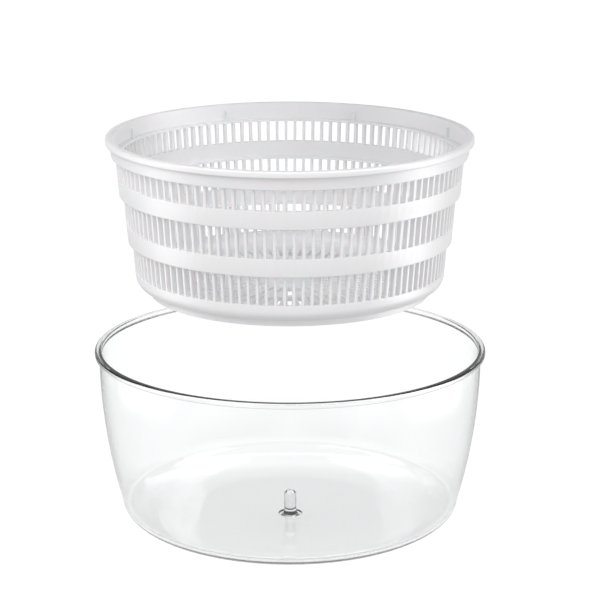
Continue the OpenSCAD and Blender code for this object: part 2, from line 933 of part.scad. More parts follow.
module knob_pin() {
    color("silver")
        on_lid()
            translate([crank_r, 0, arm_low]) {
                cylinder(r = knob_pin_r, h = pin_top - arm_low);
                translate([0, 0, pin_top - pin_head_h - arm_low])
                    cylinder(r = pin_head_r, h = pin_head_h);
            }
}

// Radius of the knob at a share of its height: a waist below and a round crown above
function knob_r(t) =
    knob_d / 2 * (t < 0.72
        ? 0.72 + 0.28 * (1 - cos(180 * t / 0.72)) / 2
        : cos(62 * (t - 0.72) / 0.28));

module crank_knob() {
    steps = 24;
    counterbore = pin_top - pin_head_h - seat_gap - knob_low;
    color("whitesmoke")
        on_lid()
            translate([crank_r, 0, knob_low])
                rotate_extrude()
                    polygon(concat(
                        [
                            [knob_cap_r, knob_h],
                            [knob_cap_r, counterbore],
                            [knob_pin_r + run_gap, counterbore],
                            [knob_pin_r + run_gap, 0]
                        ],
                        [for (i = [0 : steps]) [knob_r(i / steps), knob_h * i / steps]]
                    ));
}

module knob_cap() {
    color("silver")
        on_lid()
            translate([crank_r, 0, knob_top - knob_cap_t])
                cylinder(r = knob_cap_r, h = knob_cap_t);
}

// ---- Brake ----

module brake_button() {
    color("gainsboro")
        on_lid()
            on_brake()
                rotate_extrude()
                    polygon([
                        [brake_stud_r, brake_stem_low],
                        [brake_stem_r, brake_stem_low],
                        [brake_stem_r, spring_top],
                        [brake_cap_r - 1.3, spring_top],
                        [brake_cap_r - 1.3, brake_cap_low],
                        [brake_cap_r, brake_cap_low],
                        [brake_cap_r, brake_cap_top - 1.2],
                        [brake_cap_r - 0.4, brake_cap_top - 0.4],
                        [brake_cap_r - 1.2, brake_cap_top],
                        [0, brake_cap_top],
                        [0, brake_stem_low + brake_stud_h],
                        [brake_stud_r, brake_stem_low + brake_stud_h]
                    ]);
}

module brake_pad() {
    color("dimgray")
        on_lid()
            on_brake() {
                translate([0, 0, brake_pad_low])
                    cylinder(r = brake_pad_r, h = brake_pad_t);
                translate([0, 0, brake_stem_low - eps])
                    cylinder(r = brake_stud_r, h = brake_stud_h);
            }
}

// Point of the wire's centre line at a share of the spring's length
function spring_point(t) =
    let (
        low = spring_low + spring_wire / 2,
        high = spring_top - spring_wire / 2,
        a = 360 * spring_turns * t
    )
    [spring_r * cos(a), spring_r * sin(a), low + (high - low) * t];

module brake_spring() {
    sides = 8;
    rings = spring_turns * 16;
    points = [
        for (i = [0 : rings], k = [0 : sides - 1])
            let (
                centre = spring_point(i / rings),
                a = 360 * spring_turns * i / rings,
                b = 360 * k / sides,
                out = spring_wire / 2 * cos(b)
            )
            centre + [out * cos(a), out * sin(a), spring_wire / 2 * sin(b)]
    ];
    sides_faces = [
        for (i = [0 : rings - 1], k = [0 : sides - 1])
            let (n = (k + 1) % sides)
            [i * sides + k, i * sides + n, (i + 1) * sides + n, (i + 1) * sides + k]
    ];
    ends = [
        [for (k = [0 : sides - 1]) sides - 1 - k],
        [for (k = [0 : sides - 1]) rings * sides + k]
    ];
    color("silver")
        on_lid()
            on_brake()
                polyhedron(points, concat(sides_faces, ends), convexity = 10);
}

bowl();
basket();
pivot_bearing();
bearing_washer();
bearing_screw();
lid_shell();
lid_seal();
gear_plate();
gear_plate_screws();
planet_pins();
planet_gear(0);  // planet_gear_1
planet_gear(1);  // planet_gear_2
planet_gear(2);  // planet_gear_3
sun_gear();
ring_gear();
drive_disc();
drive_disc_screw();
thrust_washer();
crank_arm();
crank_screw();
crank_cap();
knob_pin();
crank_knob();
knob_cap();
brake_button();
brake_spring();
brake_pad();
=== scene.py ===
from math import acos, cos, pi, radians, sin

import bmesh
import bpy
from mathutils import Matrix, Vector


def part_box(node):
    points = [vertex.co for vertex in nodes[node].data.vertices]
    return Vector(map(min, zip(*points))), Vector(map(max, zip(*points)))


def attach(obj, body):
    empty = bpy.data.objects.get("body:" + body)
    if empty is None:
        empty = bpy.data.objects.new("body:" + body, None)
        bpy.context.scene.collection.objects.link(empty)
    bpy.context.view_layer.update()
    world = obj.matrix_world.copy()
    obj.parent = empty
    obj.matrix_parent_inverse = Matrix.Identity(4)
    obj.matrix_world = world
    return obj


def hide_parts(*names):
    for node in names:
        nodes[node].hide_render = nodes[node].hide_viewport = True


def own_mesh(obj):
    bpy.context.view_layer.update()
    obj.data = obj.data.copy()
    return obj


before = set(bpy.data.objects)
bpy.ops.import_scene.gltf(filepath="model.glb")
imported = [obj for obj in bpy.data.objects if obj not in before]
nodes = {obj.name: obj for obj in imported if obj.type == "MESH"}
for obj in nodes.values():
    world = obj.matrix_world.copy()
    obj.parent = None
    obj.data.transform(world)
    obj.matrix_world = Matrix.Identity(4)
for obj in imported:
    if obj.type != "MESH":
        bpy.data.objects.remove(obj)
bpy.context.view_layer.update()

mm = 0.001
mergeGap = 0.0005

# heights that the pieces stand at: the basket's foot, and the level of the lid that closes on the
# bowl's rim, which the lips of its seal stand just clear of
sealGap = 0.2
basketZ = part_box("basket")[0].z
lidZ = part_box("lid_seal")[0].z - sealGap * mm


# shaping helpers, sizes in millimetres until the last step

def soften(corners, steps=3):
    # each corner is (r, z) or (r, z, trim): a trimmed corner becomes a smooth curve
    points = []
    for i, corner in enumerate(corners):
        here = Vector(corner[:2])
        if len(corner) < 3 or corner[2] == 0:
            points.append(tuple(here))
            continue
        back = (Vector(corners[i - 1][:2]) - here).normalized() * corner[2]
        ahead = (Vector(corners[(i + 1) % len(corners)][:2]) - here).normalized() * corner[2]
        for k in range(steps + 1):
            t = k / steps
            points.append(tuple(here + back * (1 - t) ** 2 + ahead * t ** 2))
    return points


def easeEdges(bm, edges, width, segments=2):
    return bmesh.ops.bevel(bm, geom=edges, offset=width, offset_type="OFFSET", segments=segments,
                           profile=0.5, affect="EDGES", material=-1)["verts"]


def revolved(outline, facets, centre=(0, 0, 0)):
    # a closed (r, z) outline turned once round the upright line through centre
    bm = bmesh.new()
    ring = [bm.verts.new((r + centre[0], centre[1], z + centre[2])) for r, z in outline]
    edges = [bm.edges.new(pair) for pair in zip(ring, ring[1:] + ring[:1])]
    bmesh.ops.spin(bm, geom=ring + edges, cent=centre, axis=(0, 0, 1), dvec=(0, 0, 0),
                   angle=2 * pi, steps=facets, use_merge=True)
    bmesh.ops.remove_doubles(bm, verts=bm.verts, dist=mergeGap)
    bmesh.ops.dissolve_degenerate(bm, edges=bm.edges, dist=mergeGap)
    bmesh.ops.recalc_face_normals(bm, faces=bm.faces)
    return bm


def addBox(bm, low, high, turn=0.0, edge=0.0):
    made = bmesh.ops.create_cube(bm, size=1)["verts"]
    low, high = Vector(low), Vector(high)
    bmesh.ops.scale(bm, verts=made, vec=high - low)
    bmesh.ops.translate(bm, verts=made, vec=(low + high) / 2)
    if edge:
        made = easeEdges(bm, list({e for v in made for e in v.link_edges}), edge)
    bmesh.ops.rotate(bm, verts=made, cent=(0, 0, 0), matrix=Matrix.Rotation(radians(turn), 3, "Z"))


def drill(radius, low, high, centre=(0, 0, 0)):
    bm = bmesh.new()
    middle = Vector((centre[0], centre[1], (low + high) / 2))
    bmesh.ops.create_cone(bm, cap_ends=True, segments=96, radius1=radius, radius2=radius,
                          depth=high - low, matrix=Matrix.Translation(middle))
    return bm


def raised(bm, faces, height):
    # a flat sheet of faces becomes a closed solid of that height
    made = bmesh.ops.extrude_face_region(bm, geom=faces)["geom"]
    bmesh.ops.translate(bm, verts=[v for v in made if isinstance(v, bmesh.types.BMVert)],
                        vec=(0, 0, height))
    bmesh.ops.recalc_face_normals(bm, faces=bm.faces)


def joined(target, *others):
    for other in others:
        mesh = bpy.data.meshes.new("part")
        other.to_mesh(mesh)
        other.free()
        target.from_mesh(mesh)
        bpy.data.meshes.remove(mesh)
    return target


def cutAway(bm, *cutters):
    # takes the cutters' space out of the shape with an exact boolean
    collection = bpy.context.scene.collection
    made = []
    for shape in (bm, joined(bmesh.new(), *cutters)):
        mesh = bpy.data.meshes.new("cutting")
        shape.to_mesh(mesh)
        shape.free()
        made.append(bpy.data.objects.new("cutting", mesh))
        collection.objects.link(made[-1])
    whole, cutter = made
    cut = whole.modifiers.new("cut", "BOOLEAN")
    cut.operation = "DIFFERENCE"
    cut.solver = "EXACT"
    cut.object = cutter
    shaped = whole.evaluated_get(bpy.context.evaluated_depsgraph_get())
    result = bpy.data.meshes.new_from_object(shaped)
    out = bmesh.new()
    out.from_mesh(result)
    bpy.data.meshes.remove(result)
    for piece in made:
        mesh = piece.data
        bpy.data.objects.remove(piece)
        bpy.data.meshes.remove(mesh)
    return out


def finishPiece(name, bm, material, body, node, lift=0.0, sharp=32):
    # millimetres become metres, and the piece goes up to where its body stands
    bmesh.ops.scale(bm, verts=bm.verts, vec=(mm, mm, mm))
    bmesh.ops.translate(bm, verts=bm.verts, vec=(0, 0, lift))
    for edge in bm.edges:
        creased = len(edge.link_faces) == 2 and edge.calc_face_angle(0) > radians(sharp)
        edge.smooth = not creased
    for face in bm.faces:
        face.smooth = True
    mesh = bpy.data.meshes.new(name)
    bm.to_mesh(mesh)
    bm.free()
    piece = bpy.data.objects.new(name, mesh)
    bpy.context.scene.collection.objects.link(piece)
    mesh.materials.append(material)
    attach(piece, body)
    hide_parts(node)
    print("made", name, len(mesh.polygons), "faces")
    return piece


# short cuts for building node trees

def feed(tree, socket, value):
    # a socket takes a fixed value or another node's output
    if isinstance(value, bpy.types.NodeSocket):
        tree.links.new(value, socket)
    else:
        socket.default_value = value


def mathNode(tree, operation, first, second):
    node = tree.nodes.new("ShaderNodeMath")
    node.operation = operation
    feed(tree, node.inputs[0], first)
    feed(tree, node.inputs[1], second)
    return node.outputs[0]


def mixNode(tree, factor, first, second, blend="MIX"):
    node = tree.nodes.new("ShaderNodeMix")
    node.data_type = "RGBA"
    node.blend_type = blend
    feed(tree, node.inputs["Factor"], factor)
    feed(tree, node.inputs["A"], first)
    feed(tree, node.inputs["B"], second)
    return node.outputs["Result"]


def noiseNode(tree, vector, scale, detail, roughness=0.5):
    node = tree.nodes.new("ShaderNodeTexNoise")
    feed(tree, node.inputs["Vector"], vector)
    feed(tree, node.inputs["Scale"], scale)
    feed(tree, node.inputs["Detail"], detail)
    feed(tree, node.inputs["Roughness"], roughness)
    return node.outputs["Fac"]


def rangeNode(tree, value, low, high):
    # 0 up to low, 1 from high on, eased between
    node = tree.nodes.new("ShaderNodeMapRange")
    node.interpolation_type = "SMOOTHSTEP"
    feed(tree, node.inputs["Value"], value)
    feed(tree, node.inputs["From Min"], low)
    feed(tree, node.inputs["From Max"], high)
    return node.outputs["Result"]


def grey(level):
    return (level, level, level, 1)


def rampNode(tree, value, stops, easing="LINEAR"):
    # stops: the colour at each position, in order
    node = tree.nodes.new("ShaderNodeValToRGB")
    node.color_ramp.interpolation = easing
    marks = node.color_ramp.elements
    places = list(stops)
    marks[0].position = places[0]
    marks[1].position = places[-1]
    for place in places[1:-1]:
        marks.new(place)
    for mark, color in zip(marks, stops.values()):
        mark.color = color
    feed(tree, node.inputs["Fac"], value)
    return node.outputs["Color"]


def groupNode(tree, group, **values):
    node = tree.nodes.new("ShaderNodeGroup")
    node.node_tree = group
    for name, value in values.items():
        node.inputs[name].default_value = value
    return node.outputs


def newGroup(name, inputs, outputs):
    group = bpy.data.node_groups.new(name, "ShaderNodeTree")
    for label, default in inputs.items():
        socket = group.interface.new_socket(label, in_out="INPUT", socket_type="NodeSocketFloat")
        socket.default_value = default
    for label in outputs:
        group.interface.new_socket(label, in_out="OUTPUT", socket_type="NodeSocketFloat")
    given = group.nodes.new("NodeGroupInput").outputs
    result = group.nodes.new("NodeGroupOutput").inputs
    return group, given, result


# surface effects shared by several materials

def makeMouldSkin():
    # the skin of a moulding: slow drift in tone and gloss, and a fine even grain
    group, given, result = newGroup(
        "mouldSkin",
        {"Roughness": 0.3, "Spread": 0.1, "Drift": 25.0, "Grain": 900.0},
        ["Roughness", "Tone", "Height"])
    place = group.nodes.new("ShaderNodeTexCoord").outputs["Object"]
    slow = noiseNode(group, place, given["Drift"], 2.0)
    fine = noiseNode(group, place, given["Grain"], 2.0, 0.6)
    swing = mathNode(group, "MULTIPLY", mathNode(group, "SUBTRACT", slow, 0.5), given["Spread"])
    relief = mathNode(group, "ADD", mathNode(group, "MULTIPLY", fine, 0.6),
                      mathNode(group, "MULTIPLY", slow, 0.4))
    feed(group, result["Roughness"], mathNode(group, "ADD", swing, given["Roughness"]))
    feed(group, result["Tone"], slow)
    feed(group, result["Height"], relief)
    return group


def makeHandling():
    # faint marks of use: wiped smears and a few hair scratches
    group, given, result = newGroup("handling", {"Smear": 0.1, "Scratch": 0.1}, ["Roughness", "Height"])
    place = group.nodes.new("ShaderNodeTexCoord").outputs["Object"]
    stretch = group.nodes.new("ShaderNodeMapping")
    stretch.inputs["Rotation"].default_value = (0.5, 0.35, 0.9)
    stretch.inputs["Scale"].default_value = (700, 9, 30)
    feed(group, stretch.inputs["Vector"], place)
    wiped = rangeNode(group, noiseNode(group, place, 14.0, 5.0, 0.65), 0.52, 0.75)
    hair = rangeNode(group, noiseNode(group, stretch.outputs["Vector"], 1.0, 1.0), 0.74, 0.8)
    smeared = mathNode(group, "MULTIPLY", wiped, given["Smear"])
    scratched = mathNode(group, "MULTIPLY", hair, given["Scratch"])
    feed(group, result["Roughness"], mathNode(group, "ADD", smeared, scratched))
    feed(group, result["Height"], mathNode(group, "MULTIPLY", scratched, -1.0))
    return group


mouldSkin = makeMouldSkin()
handling = makeHandling()


def newMaterial(name, base, **constants):
    material = bpy.data.materials.new(name)
    material.use_nodes = True
    shader = material.node_tree.nodes["Principled BSDF"]
    shader.inputs["Base Color"].default_value = (*base, 1)
    for socket, value in constants.items():
        shader.inputs[socket.replace("_", " ")].default_value = value
    return material, material.node_tree, shader


def dressSurface(tree, shader, tones, skin, marks, bump, bumpDepth=0.0002):
    # tone from the slow drift, roughness from skin and marks, relief from grain and scratches
    base = groupNode(tree, mouldSkin, **skin)
    used = groupNode(tree, handling, **marks)
    tone = mixNode(tree, base["Tone"], (*tones[0], 1), (*tones[1], 1))
    relief = tree.nodes.new("ShaderNodeBump")
    relief.inputs["Strength"].default_value = bump
    relief.inputs["Distance"].default_value = bumpDepth
    feed(tree, relief.inputs["Height"], mathNode(tree, "ADD", base["Height"], used["Height"]))
    feed(tree, shader.inputs["Base Color"], tone)
    feed(tree, shader.inputs["Roughness"], mathNode(tree, "ADD", base["Roughness"], used["Roughness"]))
    feed(tree, shader.inputs["Normal"], relief.outputs["Normal"])
    return tone


def makeClearPlastic():
    # polished clear styrene: a very slight waviness from the mould, a grey depth along its edges from
    # absorption, and painted shade where the wall turns away from the eye
    material, tree, shader = newMaterial("clearPlastic", (1, 1, 1), IOR=1.5, Transmission_Weight=1.0)
    tone = dressSurface(tree, shader, ((1, 1, 1), (0.985, 0.992, 0.995)),
                        dict(Roughness=0.012, Spread=0.02, Drift=18.0, Grain=60.0),
                        dict(Smear=0.02, Scratch=0.02), bump=0.05)
    # painted shade: the wall's colour greys softly where it turns away from the eye
    turned = tree.nodes.new("ShaderNodeLayerWeight").outputs["Facing"]
    shade = rampNode(tree, turned, {0.42: grey(1), 0.66: grey(0.98), 0.76: grey(0.945), 0.87: grey(0.865),
                                    1.0: (0.72, 0.72, 0.725, 1)})
    feed(tree, shader.inputs["Base Color"], mixNode(tree, 1.0, tone, shade, "MULTIPLY"))
    depth = tree.nodes.new("ShaderNodeVolumeAbsorption")
    depth.inputs["Color"].default_value = (0.5, 0.52, 0.53, 1)
    depth.inputs["Density"].default_value = 26.0
    tree.links.new(depth.outputs["Volume"], tree.nodes["Material Output"].inputs["Volume"])
    return material


def makeWhitePlastic():
    # cool white polypropylene with a satin skin, a little light going into it
    material, tree, shader = newMaterial("whitePlastic", (0.86, 0.86, 0.88), IOR=1.49,
                                         Subsurface_Weight=0.12, Subsurface_Scale=0.004)
    dressSurface(tree, shader, ((0.86, 0.86, 0.875), (0.88, 0.88, 0.888)),
                 dict(Roughness=0.34, Spread=0.08, Drift=22.0, Grain=1100.0),
                 dict(Smear=0.06, Scratch=0.08), bump=0.12)
    return material


def makeGreyPlastic():
    material, tree, shader = newMaterial("greyPlastic", (0.5, 0.52, 0.54), IOR=1.49)
    dressSurface(tree, shader, ((0.47, 0.49, 0.51), (0.5, 0.52, 0.54)),
                 dict(Roughness=0.3, Spread=0.08, Drift=40.0, Grain=1500.0),
                 dict(Smear=0.08, Scratch=0.1), bump=0.15)
    return material


def makeNylon():
    # natural nylon: warm, waxy and slightly see-through at its teeth
    material, tree, shader = newMaterial("gearNylon", (0.8, 0.78, 0.7), IOR=1.53,
                                         Subsurface_Weight=0.2, Subsurface_Scale=0.002)
    dressSurface(tree, shader, ((0.78, 0.76, 0.68), (0.84, 0.82, 0.75)),
                 dict(Roughness=0.42, Spread=0.12, Drift=60.0, Grain=2200.0),
                 dict(Smear=0.1, Scratch=0.12), bump=0.2)
    return material


def makeSteel():
    # zinc plated steel, drawn along Z, with a faint directional grain
    material, tree, shader = newMaterial("platedSteel", (0.72, 0.72, 0.73), Metallic=1.0)
    dressSurface(tree, shader, ((0.66, 0.66, 0.67), (0.78, 0.78, 0.79)),
                 dict(Roughness=0.28, Spread=0.16, Drift=220.0, Grain=3000.0),
                 dict(Smear=0.1, Scratch=0.15), bump=0.25, bumpDepth=0.0001)
    return material


def makeSilicone():
    material, tree, shader = newMaterial("silicone", (0.5, 0.52, 0.54), IOR=1.41)
    dressSurface(tree, shader, ((0.47, 0.49, 0.51), (0.53, 0.55, 0.57)),
                 dict(Roughness=0.62, Spread=0.15, Drift=50.0, Grain=1800.0),
                 dict(Smear=0.12, Scratch=0.05), bump=0.3)
    return material


clearPlastic = makeClearPlastic()
whitePlastic = makeWhitePlastic()
greyPlastic = makeGreyPlastic()
gearNylon = makeNylon()
platedSteel = makeSteel()
silicone = makeSilicone()
print("materials ready")


# bowl: one clear moulding with a rolled rim and a pivot in the middle of its floor

bowlSize = {
    "rimR": 129.6,
    "height": 121.0,
    "wall": 1.7,
    "bead": 3.0,
    "beadHeight": 3.6,
    "taper": 13.9,
    "cornerHeight": 17.0,
    "footR": 74.0,
    "floor": 2.2,
    "pivotHeight": 17.8,
    "pivotR": 4.0,
    "pivotFlare": 4.5,
}


def makeBowl():
    b = bowlSize
    wallR = b["rimR"] - b["bead"]
    mouthR = wallR - b["wall"]
    cornerR = wallR - b["taper"]
    cornerTop = b["cornerHeight"]
    top = b["height"]
    beadLow = top - b["beadHeight"]
    floor = b["floor"]
    rimEase = 1.2

    def corner(outR, low, steps=18):
        turns = [radians(90 * i / steps) for i in range(steps + 1)]
        return [(b["footR"] + (outR - b["footR"]) * sin(a), low + (cornerTop - low) * (1 - cos(a)))
                for a in turns]

    def wall(r, high, steps=22):
        shares = [i / steps for i in range(1, steps)]
        return [(r - b["taper"] * (1 - s) ** 2, cornerTop + (high - cornerTop) * s) for s in shares]

    outside = corner(cornerR, 0) + wall(wallR, beadLow)
    rim = soften([(wallR, beadLow - 4), (wallR, beadLow, 0.6), (b["rimR"], beadLow, 1.4),
                  (b["rimR"], top, 1.6), (mouthR, top, rimEase), (mouthR, top - 3)], steps=5)[1:-1]
    inside = corner(cornerR - b["wall"], floor) + wall(mouthR, top - rimEase)
    pivotR, pivotTop = b["pivotR"], floor + b["pivotHeight"]
    pivot = soften([(pivotR + b["pivotFlare"], floor, 1.5), (pivotR + 0.6, floor + 0.8, 1.0),
                    (pivotR, floor + 5), (pivotR, pivotTop - 2, 0.6),
                    (pivotR - 2, pivotTop, 0.6), (0, pivotTop)])
    outline = [(0, 0)] + outside + rim + inside[::-1] + pivot
    bowl = finishPiece("clearBowl", revolved(outline, 224), clearPlastic, "bowl",
                       "bowl", sharp=60)
    # clear walls let the light through, so they neither shade nor tint what is round them
    bowl.visible_shadow = False
    bowl.visible_diffuse = False


makeBowl()


# basket: lip, collar and three rows of upright slots, each row stepped in under the one above

basketSize = {
    "rimR": 120.0,
    "lipHeight": 4.4,
    "lipOut": 3.1,
    "collarHeight": 8.1,
    "wall": 2.2,
    "bandStep": 2.8,
    "draft": 0.08,
    "bandHeight": 11.8,
    "slotTop": 13.8,
    "slotMiddle": 19.4,
    "slotLow": 19.2,
    "baseBand": 15.5,
    "ribs": 112,
    "ribWidth": 1.8,
    "ribDepth": 3.4,
    "ledge": 1.5,
    "footR": 92.5,
    "footHeight": 4.5,
    "footRing": 4.5,
    "baseThickness": 2.6,
    "hubR": 13.0,
    "hubTop": 17.0,
    "journalBore": 9.08,
    "journalTop": 15.0,
    "screwBore": 2.0,
    "drainWidth": 2.6,
    "drainWeb": 4.0,
    "drainInset": (6.0, 1.5),
    "drainCounts": (24, 48, 72),
    "lugs": 8,
    "lugWidth": 3.0,
    "lugReach": 1.6,
}
b = basketSize
slotLowZ = b["baseBand"]
bandLowZ = slotLowZ + b["slotLow"]
slotMiddleZ = bandLowZ + b["bandHeight"]
bandTopZ = slotMiddleZ + b["slotMiddle"]
slotTopZ = bandTopZ + b["bandHeight"]
collarZ = slotTopZ + b["slotTop"]
lipZ = collarZ + b["collarHeight"]
basketHeight = lipZ + b["lipHeight"]
collarTopR = b["rimR"] - b["lipOut"]
collarLowR = collarTopR - b["draft"] * b["collarHeight"]
tierTopR = collarLowR - b["bandStep"]
tierMiddleR = tierTopR - b["draft"] * (collarZ - bandTopZ) - b["bandStep"]
tierLowR = tierMiddleR - b["draft"] * (bandTopZ - bandLowZ) - b["bandStep"]
cornerZ = b["baseBand"] - 3.5
baseWallR = tierLowR - b["draft"] * (bandLowZ - cornerZ)
baseZ = b["footHeight"] - 1.5
baseTopZ = baseZ + b["baseThickness"]
plateR = b["footR"] - b["footRing"]
tiers = [
    # radius at the top of the slots, heights of the slots' top and bottom
    (tierTopR, collarZ, slotTopZ),
    (tierMiddleR, bandTopZ, slotMiddleZ),
    (tierLowR, bandLowZ, slotLowZ),
]


def quarterCurve(startR, startZ, endR, endZ, steps=8):
    turns = [radians(90 * i / steps) for i in range(steps + 1)]
    return [(startR + (endR - startR) * sin(a), startZ + (endZ - startZ) * (1 - cos(a))) for a in turns]


def wallOutline():
    # the outside from the foot up to the lip, then the inside back down to the base plate
    step, depth, draft = b["bandStep"], b["ribDepth"], b["draft"]
    footR, footTop = b["footR"], b["footHeight"]
    collarInR = collarTopR - b["wall"]
    baseInR = baseWallR - b["wall"] - 1
    corners = [(plateR, baseZ + 0.05), (plateR, 0, 0.5), (footR, 0, 0.6), (footR, footTop, 0.3)]
    corners += quarterCurve(footR + 1, footTop, baseWallR, cornerZ)
    for topR, topZ, slotZ in reversed(tiers):
        corners += [(topR - draft * (topZ - slotZ), slotZ), (topR, topZ), (topR + step, topZ, 0.7)]
    corners += [(collarTopR, lipZ, 0.8), (b["rimR"], lipZ + 0.2, 1.0), (b["rimR"], basketHeight, 2.2),
                (collarInR, basketHeight, 1.3), (collarLowR - b["wall"], collarZ + b["ledge"], 0.4)]
    for topR, topZ, slotZ in tiers:
        innerR = topR - depth
        ledgeZ = topZ + b["ledge"]
        slope = draft if topR != tierLowR else (innerR - baseInR) / (ledgeZ - cornerZ - 2)
        if topR != tierTopR:
            corners.append((innerR + step, ledgeZ, 0.5))
        corners += [(innerR, ledgeZ, 0.5), (innerR - slope * b["ledge"], topZ),
                    (innerR - slope * (ledgeZ - slotZ), slotZ)]
    corners += reversed(quarterCurve(footR - 3, baseTopZ, baseInR, cornerZ + 2))
    corners.append((plateR, baseTopZ))
    return soften(corners)


def makeBasketWall():
    # one rib and one slot, opened through the wall, eased at its edges and repeated round
    pitch = 2 * pi / b["ribs"]
    rib = b["ribWidth"] / tierMiddleR
    slot = pitch - rib
    bm = bmesh.new()
    ring = [bm.verts.new((r, 0, z)) for r, z in wallOutline()]
    last = ring + [bm.edges.new(pair) for pair in zip(ring, ring[1:] + ring[:1])]
    bmesh.ops.rotate(bm, verts=ring, cent=(0, 0, 0), matrix=Matrix.Rotation(-pitch / 2, 3, "Z"))
    for angle in (rib / 2, slot, rib / 2):
        last = bmesh.ops.spin(bm, geom=last, cent=(0, 0, 0), axis=(0, 0, 1), dvec=(0, 0, 0),
                              angle=angle, steps=1, use_merge=False)["geom_last"]
    for topR, topZ, slotZ in tiers:
        reach = slot * topR / 8
        outsideR = topR - b["ribDepth"] / 2 - 1.2
        across = [f for f in bm.faces if slotZ < f.calc_center_median().z < topZ
                  and abs(f.calc_center_median().y) < reach]
        edges = list({e for f in across for e in f.edges})
        outer = [e for e in edges if all(v.co.xy.length > outsideR for v in e.verts)
                 and min(v.co.z for v in e.verts) < topZ - 1]
        bmesh.ops.delete(bm, geom=across, context="FACES_ONLY")
        bmesh.ops.bridge_loops(bm, edges=edges)
        easeEdges(bm, outer, 0.4)
    whole = bm.verts[:] + bm.edges[:] + bm.faces[:]
    bmesh.ops.spin(bm, geom=whole, cent=(0, 0, 0), axis=(0, 0, 1), dvec=(0, 0, 0),
                   angle=2 * pi - pitch, steps=b["ribs"] - 1, use_duplicate=True)
    bmesh.ops.remove_doubles(bm, verts=bm.verts, dist=0.002)
    bmesh.ops.recalc_face_normals(bm, faces=bm.faces)
    return bm


def makeBasePlate():
    # a flat sheet, filled in round its three rings of drain slots and given its thickness
    counts = b["drainCounts"]
    fromHub, fromEdge = b["drainInset"]
    first, last = b["hubR"] + fromHub, plateR - fromEdge
    pitch = (last - first + b["drainWeb"]) / len(counts)
    half = b["drainWidth"] / 2
    bm = bmesh.new()
    bmesh.ops.create_circle(bm, segments=240, radius=plateR + 0.4)
    bmesh.ops.create_circle(bm, segments=72, radius=b["hubR"] - 0.5)
    for ring, count in enumerate(counts):
        start = first + ring * pitch
        end = start + pitch - b["drainWeb"]
        corners = soften([(start, -half, 0.8), (end, -half, 0.8), (end, half, 0.8), (start, half, 0.8)], 2)
        for i in range(count):
            loop = [bm.verts.new((x, y, 0)) for x, y in corners]
            for pair in zip(loop, loop[1:] + loop[:1]):
                bm.edges.new(pair)
            turn = Matrix.Rotation(2 * pi * i / count, 3, "Z")
            bmesh.ops.rotate(bm, verts=loop, cent=(0, 0, 0), matrix=turn)
    bmesh.ops.triangle_fill(bm, use_beauty=True, use_dissolve=False, edges=bm.edges[:], normal=(0, 0, 1))
    bmesh.ops.translate(bm, verts=bm.verts, vec=(0, 0, baseZ + 0.1))
    raised(bm, bm.faces[:], b["baseThickness"] - 0.2)
    return bm


def makeHub():
    hubR, bore, screwR = b["hubR"], b["journalBore"], b["screwBore"]
    return revolved(soften([(bore, baseZ), (hubR + 1.5, baseZ), (hubR + 1.5, baseTopZ, 0.3),
                            (hubR, baseTopZ + 0.3, 0.6), (hubR, b["hubTop"], 1.2),
                            (screwR, b["hubTop"], 0.3), (screwR, b["journalTop"]),
                            (bore, b["journalTop"])]), 96)


def makeLugs():
    # they stand inside the collar, and the drive disc's notches turn them
    bm = bmesh.new()
    wallR = collarLowR - b["wall"]
    low = collarZ + b["ledge"] - 0.2
    half = b["lugWidth"] / 2
    for i in range(b["lugs"]):
        addBox(bm, (wallR - b["lugReach"], -half, low), (wallR + 1, half, lipZ),
               turn=360 * (i + 0.5) / b["lugs"], edge=0.4)
    return bm


basket = joined(makeBasketWall(), makeBasePlate(), makeHub(), makeLugs())
finishPiece("whiteBasket", basket, whitePlastic, "basket", "basket", lift=basketZ)


# lid: a domed shell with a sunk flange, a seal under it, and a well at the front for the brake button

lidSize = {
    "rimR": 133.0,
    "skirtWidth": 1.8,
    "skirtLow": -2.5,
    "spigotR": 123.2,
    "spigotWidth": 2.0,
    "spigotLow": -5.0,
    "flangeLow": 1.0,
    "flangeTop": 4.3,
    "sealInR": 124.6,
    "sealOutR": 129.2,
    "sealTop": 1.8,
    "domeR": 120.6,
    "plateauR": 67.0,
    "top": 21.0,
    "wall": 2.5,
    "hubBore": 8.08,
    "hubR": 12.0,
    "hubLow": 17.5,
    "screwCircleR": 59.0,
    "bossR": 3.9,
    "bossLow": 5.0,
    "screwR": 1.5,
}
brakeSize = {
    "fromCentre": 92.0,
    "wellR": 11.3,
    "wellWall": 2.2,
    "wellLow": 9.0,
    "wellFloor": 13.4,
    "wellTop": 22.5,
    "guideR": 9.4,
    "guideLow": 2.5,
    "guideTop": 16.0,
    "guideBore": 6.1,
    "springSeatR": 8.0,
    "springSeat": 14.4,
    "capR": 11.0,
    "capLow": 20.0,
    "capTop": 26.0,
    "capWall": 1.3,
    "dish": 0.6,
    "stemR": 6.0,
    "stemLow": 2.2,
    "springTop": 24.0,
    "springR": 7.1,
    "springWire": 0.9,
    "springTurns": 4,
    "springPlay": 0.05,
    "travel": 3.8,
    "studR": 2.0,
    "studHeight": 4.0,
}
brakePlace = (0, -brakeSize["fromCentre"], 0)


def domeOutline(drop=0.0, steps=28):
    d = lidSize
    span = d["domeR"] - d["plateauR"]
    rise = d["top"] - d["flangeTop"]
    shares = [i / steps for i in range(steps + 1)]
    return [(d["plateauR"] + span * s, d["flangeTop"] + rise * cos(radians(90 * s)) - drop) for s in shares]


